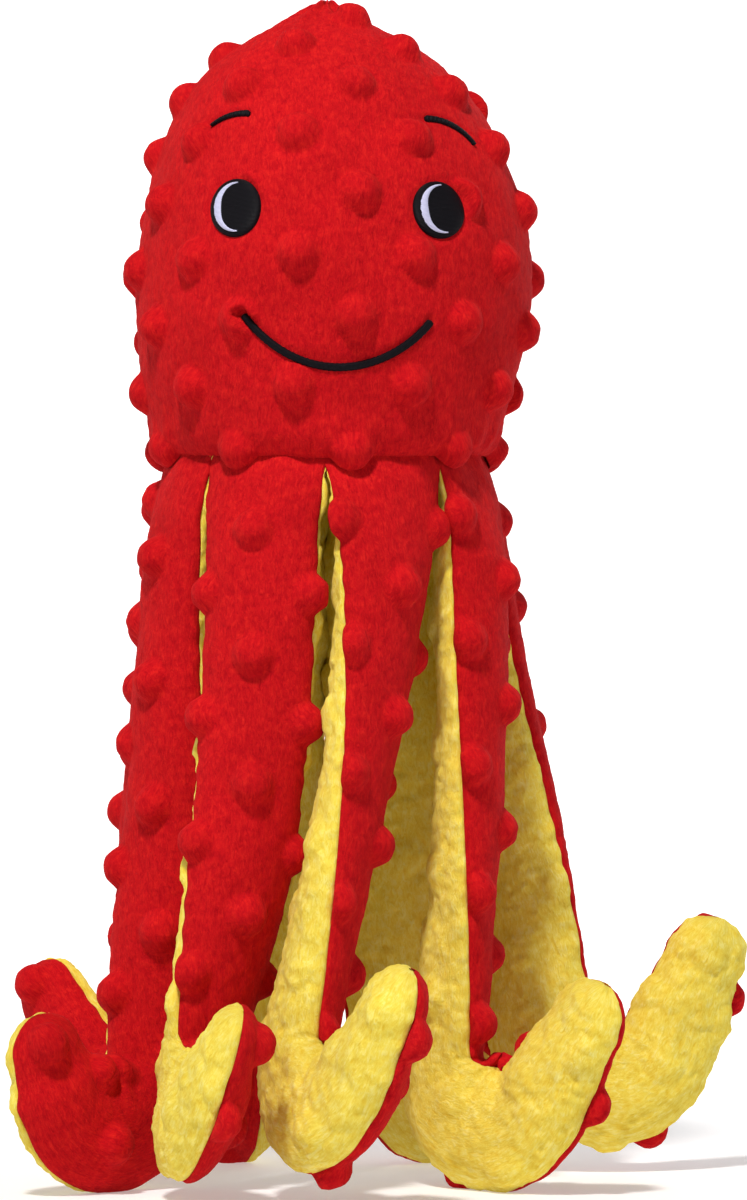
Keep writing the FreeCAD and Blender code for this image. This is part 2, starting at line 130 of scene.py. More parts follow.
# Going round from the left front tentacle by way of the front.
HANG = (
    Hang(5.8, 0.0, 0.0, 0.0, 21.5, 0.0, 22.0),
    Hang(6.3, -15.0, 0.0, -0.30, 34.5, 6.0, 26.0),
    Hang(0.4, -25.0, 0.0, -0.25, 8.0, 9.0, 31.0, 0.8),
    Hang(-7.0, -3.0, -0.18, 0.0, -17.5, 0.0, 38.0),
    Hang(22.0, 0.0, 0.0, 0.0, -17.5, 7.5, 40.0),
    Hang(5.8, 0.0, 0.0, 0.0, -17.5, 0.0, 29.0),
    Hang(5.8, 0.0, 0.0, 0.0, 0.5, 0.0, 29.0),
    Hang(5.8, 0.0, -0.25, 0.0, -21.5, 6.0, 34.0),
)

# The cloth: the spacing of its raised dots, their size, and the grid it is modelled on.
DOT_ACROSS = 16.5
DOT_ALONG = 17.3
DOT_RADIUS = 6.4
DOT_HEIGHT = 4.3
CLOTH_GRID = 0.8
DOT_TO_SEAM = 1.5
SEAM_ALLOWANCE = 1.5

# The fills, inside the cloth, and where a tentacle's fill starts below its hinge.
FILL_INSET = 5.0
TENTACLE_FILL_INSET = 2.6
TENTACLE_FILL_START = 6.0


# ---------------------------------------------------------------- helpers


def ease(share):
    """A smooth step from 0 to 1."""
    share = np.clip(share, 0.0, 1.0)
    return share * share * (3 - 2 * share)


def mix(first, second, share):
    return first + (second - first) * share


def unit(vectors):
    return vectors / np.maximum(np.linalg.norm(vectors, axis=-1, keepdims=True), 1e-9)


def heading(bearing):
    """The level direction at a bearing in radians."""
    return np.array([math.sin(bearing), -math.cos(bearing), 0.0])


RANDOM_TABLE = np.random.default_rng(11).uniform(-1.0, 1.0, 4096)


def noise(points, size, seed=0):
    """Smooth random values from -1 to 1 that change over the given size."""
    cell = points / size + seed * 17.3
    base = np.floor(cell).astype(np.int64)
    part = ease(cell - base)
    total = np.zeros(points.shape[:-1])
    for corner in itertools.product((0, 1), repeat=3):
        key = base + np.array(corner)
        mixed = key[..., 0] * 73856093 ^ key[..., 1] * 19349663 ^ key[..., 2] * 83492791
        weight = np.prod(np.where(np.array(corner) == 1, part, 1 - part), axis=-1)
        total += weight * RANDOM_TABLE[mixed % len(RANDOM_TABLE)]
    return total


def grid_normals(points, outward):
    """The directions square to a grid of points, on the side that outward points to."""
    along, across = np.gradient(points, axis=0), np.gradient(points, axis=1)
    normals = unit(np.cross(along, across))
    side = np.sign(np.sum(normals * outward, axis=-1, keepdims=True))
    return normals * np.where(side == 0, 1.0, side)


def grid_faces(rows, columns, closed=False):
    """The four-cornered faces of a grid, wrapped round if it is closed."""
    index = np.arange(rows * columns).reshape(rows, columns)
    if closed:
        index = np.hstack([index, index[:, :1]])
    corners = index[:-1, :-1], index[:-1, 1:], index[1:, 1:], index[1:, :-1]
    return np.stack([corner.ravel() for corner in corners], axis=1)


def make_piece(name, points, faces, material, coordinates=None):
    """A mesh object from points in millimetres, with a UV map if cloth coordinates are given."""
    mesh = bpy.data.meshes.new(name)
    mesh.from_pydata((points.reshape(-1, 3) * MM).tolist(), [], [list(face) for face in faces])
    if coordinates is not None:
        layer = mesh.uv_layers.new(name="cloth")
        loops = np.empty(len(mesh.loops), dtype=np.int64)
        mesh.loops.foreach_get("vertex_index", loops)
        layer.data.foreach_set("uv", coordinates.reshape(-1, 2)[loops].astype(np.float32).ravel())
    mesh.polygons.foreach_set("use_smooth", np.ones(len(mesh.polygons), dtype=bool))
    mesh.materials.append(material)
    mesh.validate()
    mesh.update()
    piece = bpy.data.objects.new(name, mesh)
    bpy.context.scene.collection.objects.link(piece)
    return piece


def grid_piece(name, points, outward, material, coordinates=None, closed=False):
    """A mesh object from a grid of points, with its faces pointing outward."""
    rows, columns = points.shape[:2]
    faces = grid_faces(rows, columns, closed)
    middle = (rows // 2) * columns + columns // 2
    flat = points.reshape(-1, 3)
    row, column = divmod(middle, columns)
    face_normal = np.cross(flat[middle + 1] - flat[middle], flat[middle + columns] - flat[middle])
    if np.dot(face_normal, outward[row, column]) < 0:
        faces = faces[:, ::-1]
    return make_piece(name, points, faces, material, coordinates)


# ---------------------------------------------------------------- materials


def new_material(name):
    material = bpy.data.materials.new(name)
    material.use_nodes = True
    tree = material.node_tree
    return material, tree, tree.nodes["Principled BSDF"]


def node(tree, kind, **inputs):
    """Adds a node and sets its inputs. A value that is a socket is linked."""
    made = tree.nodes.new(kind)
    for name, value in inputs.items():
        socket = made.inputs[name.replace("_", " ")]
        if isinstance(value, bpy.types.NodeSocket):
            tree.links.new(value, socket)
        else:
            socket.default_value = value
    return made


def ramp(tree, factor, *stops):
    """A colour ramp. Each stop is a place and a linear colour."""
    made = node(tree, "ShaderNodeValToRGB", Fac=factor)
    elements = made.color_ramp.elements
    while len(elements) < len(stops):
        elements.new(0.5)
    for element, (place, colour) in zip(elements, stops):
        element.position = place
        element.color = (*colour, 1.0)
    return made.outputs["Color"]


def scaled_coordinates(tree, source, scale):
    mapping = node(tree, "ShaderNodeMapping", Vector=source, Scale=scale)
    return mapping.outputs["Vector"]


def plush_material(name, shade_between_tufts, middle, light_on_tips, pile, sheen, tint, bump):
    """Short plush pile: tufts that lean about, with painted shade between them and painted light on their
    tips.

    pile is the size of a tuft in millimetres. The cloth's UV map is in millimetres.
    """
    material, tree, shader = new_material(name)
    place = node(tree, "ShaderNodeTexCoord")
    solid, cloth = place.outputs["Object"], place.outputs["UV"]
    patches = node(tree, "ShaderNodeTexNoise", Vector=solid, Scale=55.0, Detail=3.0, Roughness=0.55)
    tuft_scale = 0.55 / (pile * MM)
    tufts = node(tree, "ShaderNodeTexNoise", Vector=solid, Scale=tuft_scale, Detail=4.0, Roughness=0.65)
    combed = scaled_coordinates(tree, cloth, (1.6 / pile, 0.5 / pile, 1.0))
    strands = node(tree, "ShaderNodeTexNoise", Vector=combed, Scale=1.0, Detail=5.0, Roughness=0.7)
    strands.inputs["Distortion"].default_value = 1.2
    both = node(tree, "ShaderNodeMath")
    both.operation = "MULTIPLY_ADD"
    tree.links.new(tufts.outputs["Fac"], both.inputs[0])
    both.inputs[1].default_value = 0.6
    tree.links.new(strands.outputs["Fac"], both.inputs[2])
    height = node(tree, "ShaderNodeMath")
    height.operation = "MULTIPLY"
    tree.links.new(both.outputs["Value"], height.inputs[0])
    height.inputs[1].default_value = 0.62
    # The colour follows the pile's height: painted shade in the low spots between tufts, painted light on the
    # tufts' tips.
    colour = ramp(tree, height.outputs["Value"], (0.33, shade_between_tufts), (0.5, middle), (0.68, light_on_tips))
    shade = ramp(tree, patches.outputs["Fac"], (0.3, (0.86, 0.84, 0.84)), (0.7, (1.0, 1.0, 1.0)))
    tinted = node(tree, "ShaderNodeMix")
    tinted.data_type = "RGBA"
    tinted.blend_type = "MULTIPLY"
    tinted.inputs["Factor"].default_value = 1.0
    tree.links.new(colour, tinted.inputs["A"])
    tree.links.new(shade, tinted.inputs["B"])
    tree.links.new(tinted.outputs["Result"], shader.inputs["Base Color"])
    relief = node(tree, "ShaderNodeBump", Strength=bump, Distance=pile * MM, Height=height.outputs["Value"])
    tree.links.new(relief.outputs["Normal"], shader.inputs["Normal"])
    shader.inputs["Roughness"].default_value = 0.92
    shader.inputs["Specular IOR Level"].default_value = 0.06
    shader.inputs["Sheen Weight"].default_value = sheen
    shader.inputs["Sheen Roughness"].default_value = 0.45
    shader.inputs["Sheen Tint"].default_value = (*tint, 1.0)
    return material


def thread_material(name, base, light, gloss):
    """Satin stitch: fine glossy threads that lie side by side along the UV map's first direction, with painted
    light on their crowns and painted shade between them.
    """
    material, tree, shader = new_material(name)
    cloth = node(tree, "ShaderNodeTexCoord").outputs["UV"]
    threads = node(tree, "ShaderNodeTexWave", Vector=cloth, Scale=0.9, Distortion=0.6, Detail=1.0)
    threads.bands_direction = "Y"
    threads.inputs["Detail Scale"].default_value = 1.5
    # The lighter colour falls on the threads' crowns and the darker one in the grooves between them: painted
    # light and painted shade.
    colour = ramp(tree, threads.outputs["Fac"], (0.1, base), (0.9, light))
    tree.links.new(colour, shader.inputs["Base Color"])
    stitches = threads.outputs["Fac"]
    relief = node(tree, "ShaderNodeBump", Strength=0.5, Distance=0.2 * MM, Height=stitches)
    tree.links.new(relief.outputs["Normal"], shader.inputs["Normal"])
    shader.inputs["Roughness"].default_value = 0.5
    shader.inputs["Specular IOR Level"].default_value = gloss
    return material


def mottled_material(name, low, high, scale, roughness, bump=0.0):
    """A plain surface with slight mottling, for what hides inside."""
    material, tree, shader = new_material(name)
    place = node(tree, "ShaderNodeTexCoord")
    mottle = node(tree, "ShaderNodeTexNoise", Vector=place.outputs["Object"], Scale=scale, Detail=4.0)
    colour = ramp(tree, mottle.outputs["Fac"], (0.3, low), (0.7, high))
    tree.links.new(colour, shader.inputs["Base Color"])
    relief = node(tree, "ShaderNodeBump", Strength=bump, Distance=MM, Height=mottle.outputs["Fac"])
    tree.links.new(relief.outputs["Normal"], shader.inputs["Normal"])
    shader.inputs["Roughness"].default_value = roughness
    return material


# Each plush's colours run from the painted shade between its tufts, through its own middle tone, to the
# painted light on the tufts' tips.
RED = plush_material(
    "red plush",
    shade_between_tufts=(0.36, 0.0015, 0.007),
    middle=(0.54, 0.006, 0.010),
    light_on_tips=(0.72, 0.018, 0.014),
    pile=1.2,
    sheen=0.05,
    tint=(1.0, 0.16, 0.1),
    bump=0.6,
)
YELLOW = plush_material(
    "yellow plush",
    shade_between_tufts=(0.80, 0.54, 0.030),
    middle=(0.90, 0.73, 0.095),
    light_on_tips=(0.97, 0.90, 0.30),
    pile=1.4,
    sheen=0.12,
    tint=(1.0, 0.95, 0.5),
    bump=0.6,
)
# Each thread's two colours: painted shade between the threads, then painted light on their crowns.
BLACK_THREAD = thread_material("black thread", (0.002, 0.002, 0.003), (0.008, 0.007, 0.010), 0.08)
PALE_THREAD = thread_material("pale thread", (0.40, 0.41, 0.62), (0.66, 0.67, 0.88), 0.3)
FIBRE = mottled_material("fibre fill", (0.72, 0.72, 0.70), (0.9, 0.9, 0.88), 300.0, 0.95, 0.6)
PLASTIC = mottled_material("squeaker plastic", (0.78, 0.78, 0.74), (0.86, 0.86, 0.82), 120.0, 0.4)


# ---------------------------------------------------------------- the cloth's relief


def dot_relief(points, dots):
    """The height of the raised dots at each point. dots holds their middles on the same surface."""
    height = np.zeros(points.shape[:-1])
    for dot in dots:
        away = np.linalg.norm(points - dot, axis=-1) / DOT_RADIUS
        height = np.maximum(height, DOT_HEIGHT * (1 - np.clip(away, 0.0, 1.0) ** 2.8) ** 1.4)
    return height


def pile_relief(points, height, size, seed):
    """The uneven ends of the pile."""
    fine = noise(points, size, seed) + 0.6 * noise(points, size * 0.55, seed + 1)
    return height * fine


# ---------------------------------------------------------------- the head


def dome_profile():
    """The dome's outline as run from the neck, radius and height above the neck."""
    places = []
    for (low, high), bend in zip(zip(RINGS, RINGS[1:]), (*BENDS, None)):
        low, high = np.array(low), np.array(high)
        shares = np.linspace(0, 1, 60, endpoint=False)[:, None]
        if bend is None:
            places.append(mix(low, high, shares))
            continue
        along = high - low
        half = np.linalg.norm(along) / 2
        inward = np.array([-along[1], along[0]]) / (2 * half)
        centre = (low + high) / 2 + inward * math.sqrt(bend**2 - half**2)
        first, last = (math.atan2(*(end - centre)[::-1]) for end in (low, high))
        angles = mix(first, last, shares)
        places.append(centre + bend * np.hstack([np.cos(angles), np.sin(angles)]))
    outline = np.vstack([*places, np.array([RINGS[-1]])])
    run = np.concatenate([[0.0], np.cumsum(np.linalg.norm(np.diff(outline, axis=0), axis=1))])
    return run, outline[:, 0], outline[:, 1]


DOME_RUN, DOME_RADIUS, DOME_HEIGHT = dome_profile()
DOME_LENGTH = DOME_RUN[-1]


LEAN = 2.4
LEAN_HEIGHT = 66.0
LEAN_SPREAD = 40.0


def dome_lean(height):
    """How far the stuffed head bulges towards +X, at a height above the neck."""
    return LEAN * np.exp(-(((height - LEAN_HEIGHT) / LEAN_SPREAD) ** 2))


def dome_points(turn, run):
    """Points of the smooth dome at a bearing in radians and a run up from the neck."""
    radius = np.interp(run, DOME_RUN, DOME_RADIUS)
    height = np.interp(run, DOME_RUN, DOME_HEIGHT)
    x = AXIS_X + dome_lean(height) + radius * np.sin(turn)
    y = AXIS_Y - radius * np.cos(turn)
    sag = HEM_SAG * np.cos(turn) ** 2 * np.exp(-((run / HEM_SAG_RUN) ** 2))
    return np.stack([x, y, NECK_HEIGHT + height - sag], axis=-1)


def dome_outward(turn, run):
    """The directions square to the smooth dome."""
    step = 0.5
    low = np.clip(run - step, 0, DOME_LENGTH)
    high = np.clip(run + step, 0, DOME_LENGTH)
    rise = np.interp(high, DOME_RUN, DOME_HEIGHT) - np.interp(low, DOME_RUN, DOME_HEIGHT)
    fall = np.interp(low, DOME_RUN, DOME_RADIUS) - np.interp(high, DOME_RUN, DOME_RADIUS)
    return unit(np.stack([rise * np.sin(turn), -rise * np.cos(turn), fall], axis=-1))


def dome_swell(turn, run, points):
    """How far the stuffed cover stands off the smooth dome, before its dots and pile."""
    radius = np.interp(run, DOME_RUN, DOME_RADIUS)
    lumps = 1.1 * noise(points, 26.0, 3) + 0.5 * noise(points, 12.0, 4)
    to_seam = np.abs(np.abs(turn) - math.pi / 2) * radius
    seam = -1.3 * np.exp(-((to_seam / 3.0) ** 2)) - 0.5 * np.exp(-((to_seam / 9.0) ** 2))
    pucker = 0.35 * np.sin(run / 2.1 + 2.0 * np.sin(run / 9.0)) * np.exp(-((to_seam / 5.0) ** 2))
    hem = 0.9 * np.exp(-(((run - 7.0) / 4.0) ** 2)) - 1.7 * np.clip(1 - run / 3.5, 0, 1) ** 2
    near_crown = np.exp(-(((DOME_LENGTH - run) / 16.0) ** 2))
    gathers = 0.9 * np.cos(turn * 11 + 1.5 * np.sin(3 * turn)) * near_crown
    neck_folds = 0.7 * np.sin(turn * 23 + 3 * np.sin(turn * 5)) * np.exp(-((run / 9.0) ** 2))
    return (lumps + neck_folds) * ease(run / 7.0) + seam + pucker + hem + gathers


def dome_dots(facing, shift):
    """The middles of the dots on one head panel, as bearing and run."""
    places = []
    for row in range(-1, 12):
        run = 1.8 + DOT_ALONG * row
        if not 0 < run < DOME_LENGTH - 4:
            continue
        radius = np.interp(run, DOME_RUN, DOME_RADIUS)
        for column in range(-6, 7):
            across = shift + 2 * DOT_ACROSS * column + (DOT_ACROSS if row % 2 else 0.0)
            if abs(across / radius) < math.pi / 2 - 0.03:
                places.append((facing + across / radius, run))
    return places


# The face, as seen from the front: distances from the head's axis and heights above the floor.
FACE_CENTRE = 3.7
EYE_SPREAD = 28.0
EYE_HEIGHT = 269.2
EYE_HALF = (7.2, 8.3)
SMILE_BEND = 31.3
SMILE_ENDS = (math.radians(-56.5), math.radians(53.0))
SMILE_BOTTOM = 226.0
SMILE_WIDTH = 2.1
EYEBROW_BEND = 14.0
EYEBROW_WIDTH = 1.7
# How deep the edges of the embroidery sink into the cloth, and how far apart its stitches are.
STITCH_DEPTH = 0.7
STITCH_SPACING = 0.5


class Eyebrow(NamedTuple):
    """Where an eyebrow is stitched. The two aren't alike."""

    side: int  # -1 on the left and 1 on the right
    height: float  # of its arc's highest point
    shift: float  # how far the arc's middle is to the right of its eye
    tilt: float  # how far it tips outward
    half_angle: float


EYEBROWS = {
    "left": Eyebrow(-1, 296.2, 0.8, math.radians(12.0), math.radians(24.0)),
    "right": Eyebrow(1, 294.6, -1.8, math.radians(25.0), math.radians(33.0)),
}


def smile_line(share):
    """Points across and up the face along the smile, from left to right."""
    angle = mix(*SMILE_ENDS, share)
    across = FACE_CENTRE + SMILE_BEND * np.sin(angle)
    return across, SMILE_BOTTOM + SMILE_BEND * (1 - np.cos(angle))


def eyebrow_line(eyebrow, share):
    """Points along an eyebrow, from its inner end outward."""
    angle = eyebrow.tilt + mix(-eyebrow.half_angle, eyebrow.half_angle, share)
    middle = FACE_CENTRE + eyebrow.side * EYE_SPREAD + eyebrow.shift
    low = eyebrow.height - EYEBROW_BEND * math.cos(eyebrow.tilt)
    return middle + eyebrow.side * EYEBROW_BEND * np.sin(angle), low + EYEBROW_BEND * np.cos(angle)


def embroidered(points):
    """How fully each point lies under embroidery, from 0 to 1, with soft edges."""
    across, up = points[..., 0] - AXIS_X, points[..., 2]
    covered = np.zeros(across.shape)
    for eyebrow in EYEBROWS.values():
        eye_across = across - FACE_CENTRE - eyebrow.side * EYE_SPREAD
        oval = np.hypot(eye_across / EYE_HALF[0], (up - EYE_HEIGHT) / EYE_HALF[1])
        covered = np.maximum(covered, ease((1.25 - oval) / 0.25))
        brow_across, brow_up = eyebrow_line(eyebrow, np.linspace(0, 1, 12))
        covered = np.maximum(covered, near_line(across, up, brow_across, brow_up, EYEBROW_WIDTH))
    smile_across, smile_up = smile_line(np.linspace(0, 1, 40))
    covered = np.maximum(covered, near_line(across, up, smile_across, smile_up, SMILE_WIDTH))
    return covered * (points[..., 1] < AXIS_Y)


def near_line(across, up, line_across, line_up, width):
    """How fully each point lies within a stitched line, from 0 to 1."""
    distance = np.full(across.shape, 99.0)
    for one_across, one_up in zip(line_across, line_up):
        distance = np.minimum(distance, np.hypot(across - one_across, up - one_up))
    return ease((width * 1.1 - distance) / (width * 0.6))


def head_panel(name, facing, shift):
    """One half of the head's cover, with dots, puckered seams and pile."""
    rows = int(DOME_LENGTH / CLOTH_GRID)
    columns = int(math.pi * RINGS[1][0] / CLOTH_GRID)
    run, turn = np.meshgrid(
        np.linspace(0, DOME_LENGTH - 0.4, rows),
        facing + np.linspace(-math.pi / 2, math.pi / 2, columns),
        indexing="ij",
    )
    smooth = dome_points(turn, run)
    outward = dome_outward(turn, run)
    wrapped = np.where(turn > math.pi, turn - 2 * math.pi, turn)
    base = smooth + outward * dome_swell(wrapped, run, smooth)[..., None]
    places = dome_dots(facing, shift)
    dots = [dome_points(*place) for place in places]
    edge = ease((math.pi / 2 - np.abs(turn - facing)) * np.interp(run, DOME_RUN, DOME_RADIUS) / 2.5)
    covered = embroidered(smooth)
    relief = dot_relief(smooth, dots) * edge * (1 - covered)
    relief = relief + pile_relief(smooth, 0.16, 1.9, 5) * (1 - covered) - 0.5 * covered
    normals = grid_normals(base, outward)
    points = base + normals * relief[..., None]
    across = (turn - facing) * np.interp(run, DOME_RUN, DOME_RADIUS)
    piece = grid_piece(name, points, outward, RED, np.stack([across, run], axis=-1))
    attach(piece, "head")
    return piece


def head_fill():
    """The fibre fill that presses the head's cover out, flat at the neck."""
    runs = np.linspace(FILL_INSET, DOME_LENGTH - FILL_INSET, 60)
    run, turn = np.meshgrid(runs, np.linspace(-math.pi, math.pi, 97)[:-1], indexing="ij")
    outward = dome_outward(turn, run)
    wall = dome_points(turn, run) - FILL_INSET * outward
    middle = wall[0].mean(axis=0)
    bottom = middle + (wall[0] - middle) * np.linspace(0.01, 1, 12, endpoint=False)[:, None, None]
    points = np.concatenate([bottom, wall])
    outward = np.concatenate([np.broadcast_to(np.array([0.0, 0.0, -1.0]), bottom.shape), outward])
    piece = grid_piece("head_fill", points, outward, FIBRE, closed=True)
    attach(piece, "head")
    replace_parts(piece, "head_stuffing")


def face_points(across, up, lift):
    """Points on the front of the stuffed head, at distances across and up the face."""
    height = up - NECK_HEIGHT
    run = np.interp(height, DOME_HEIGHT, DOME_RUN)
    radius = np.interp(height, DOME_HEIGHT, DOME_RADIUS)
    turn = np.arcsin(np.clip((across - dome_lean(height)) / radius, -1, 1))
    smooth = dome_points(turn, run)
    outward = dome_outward(turn, run)
    swell = dome_swell(turn, run, smooth)
    return smooth + outward * (swell + lift)[..., None], outward


def stitched_piece(name, across, up, lift, threads, material, slot, replaced):
    """A patch of embroidery on the face, from a grid of places and lifts. threads is its UV map."""
    points, outward = face_points(across, up, lift)
    piece = grid_piece(name, points, outward, material, threads)
    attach(piece, "head")
    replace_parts(piece, replaced)


def stitched_line(name, line, widths, replaced, height):
    """A line of satin stitch along line(share), between two widths, rounded across and at its ends."""
    share, side = np.meshgrid(np.linspace(0, 1, 150), np.linspace(-1, 1, 15), indexing="ij")
    across, up = line(share)
    ahead_across, ahead_up = line(share + 0.001)
    along = unit(np.stack([ahead_across - across, ahead_up - up], axis=-1))
    length = np.sum(np.hypot(np.diff(across[:, 0]), np.diff(up[:, 0])))
    width = mix(*widths, share)
    to_end = np.minimum(share, 1 - share) * length
    narrow = np.sqrt(np.clip(1 - (1 - np.clip(to_end / (width * 0.35), 0, 1)) ** 2, 0.02, 1))
    offset = side * width / 2 * narrow + 0.05 * np.sin(share * length / 0.23) * np.abs(side)
    place_across = across - along[..., 1] * offset
    place_up = up + along[..., 0] * offset
    ridges = 0.05 * np.sin(share * length * 2 * math.pi / STITCH_SPACING)
    lift = -STITCH_DEPTH + (height + STITCH_DEPTH + ridges) * np.sqrt(np.clip(1 - side**4, 0, 1)) * narrow**0.5
    threads = np.stack([side * width, share * length], axis=-1)
    stitched_piece(
        name, place_across, place_up, lift, threads, BLACK_THREAD, "black_thread", replaced
    )


def eye(name, side):
    """A black oval of satin stitch with a pale crescent round its left."""
    centre = FACE_CENTRE + side * EYE_SPREAD
    tilt = math.radians(8.0) * (side > 0)

    def placed(across, up):
        turned_across = across * math.cos(tilt) - up * math.sin(tilt)
        return centre + turned_across, EYE_HEIGHT + up * math.cos(tilt) + across * math.sin(tilt)

    rings, turns = np.linspace(0.001, 1, 36), np.linspace(0, 2 * math.pi, 97)
    ring, angle = np.meshgrid(rings, turns, indexing="ij")
    across, up = EYE_HALF[0] * ring * np.cos(angle), EYE_HALF[1] * ring * np.sin(angle)
    ridges = 0.03 * np.sin(up * 2 * math.pi / STITCH_SPACING)
    lift = -STITCH_DEPTH + 1.65 * np.sqrt(np.clip(1 - ring**6, 0, 1)) + ridges
    threads = np.stack([across, up], axis=-1)
    stitches = f"{name}_stitches"
    stitched_piece(stitches, *placed(across, up), lift, threads, BLACK_THREAD, "black_thread", name)

    sweeps = np.radians(np.linspace(-96, 98, 90))
    sweep, over = np.meshgrid(sweeps, np.linspace(0, 1, 11), indexing="ij")
    inward = np.clip(np.cos(sweep * 0.92), 0, 1) ** 1.3
    thick = 0.3 + 2.2 * inward
    outer_across, outer_up = 0.4 - 5.9 * np.cos(sweep), 6.9 * np.sin(sweep)
    shrink = 1 - thick * over / np.hypot(outer_across, outer_up)
    across, up = outer_across * shrink, outer_up * shrink
    lift = 0.75 + 0.4 * np.sin(math.pi * over) * np.sqrt(thick / 2.5) + 0.03 * np.sin(sweep * 75)
    threads = np.stack([across, up], axis=-1)
    highlight = f"{name}_highlight"
    stitched_piece(
        f"{highlight}_stitches", *placed(across, up), lift, threads, PALE_THREAD, "pale_thread", highlight
    )


DISC_RADIUS = 43.5


def base_disc():
    """The yellow disc of cloth under the head, inside the ring of tentacles."""
    radius, turn = np.meshgrid(
        np.linspace(0.2, DISC_RADIUS, 48), np.linspace(-math.pi, math.pi, 181), indexing="ij"
    )
    share = radius / DISC_RADIUS
    sag = -1.6 * (1 - share**2) + 0.5 * np.sin(turn * 19) * share**4
    x, y = AXIS_X + radius * np.sin(turn), AXIS_Y - radius * np.cos(turn)
    points = np.stack([x, y, NECK_HEIGHT + 0.4 + sag], axis=-1)
    outward = np.broadcast_to(np.array([0.0, 0.0, -1.0]), points.shape)
    points = points + outward * pile_relief(points, 0.3, 2.2, 8)[..., None]
    piece = grid_piece("base_disc_cloth", points, outward, YELLOW, points[..., :2])
    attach(piece, "head")
    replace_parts(piece, "base_disc")


# ---------------------------------------------------------------- the tentacles


